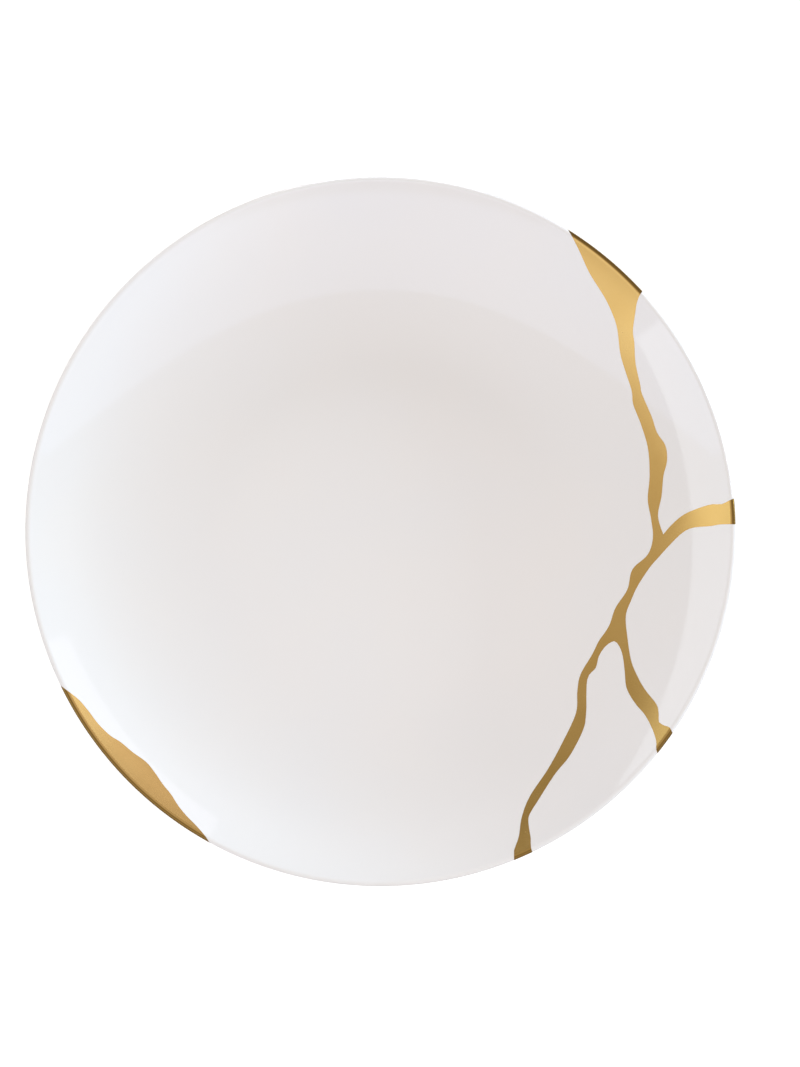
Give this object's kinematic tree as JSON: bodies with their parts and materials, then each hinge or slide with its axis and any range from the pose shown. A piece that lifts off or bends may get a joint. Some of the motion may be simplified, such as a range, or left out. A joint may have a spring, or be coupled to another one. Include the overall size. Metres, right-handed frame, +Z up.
{
  "type": "kintsugi salad plate",
  "caption": "Round white coupe plate on a low foot ring, its wall curving up to a rounded lip, with wide gold repair seams branching across one side and gold fills on the rim.",
  "frame": {"origin": "centre of the plane that the foot ring stands on", "axes": "+Z up through the middle of the plate, out of its eating side; +X towards the side where the seams branch out to the rim, +Y towards the top of the picture"},
  "size_m": [0.21, 0.21, 0.024],
  "materials": {
    "glaze": "gloss",
    "gold": "gloss"
  },
  "bodies": {
    "root": {"plate": "glaze"}
  },
  "joints": []
}
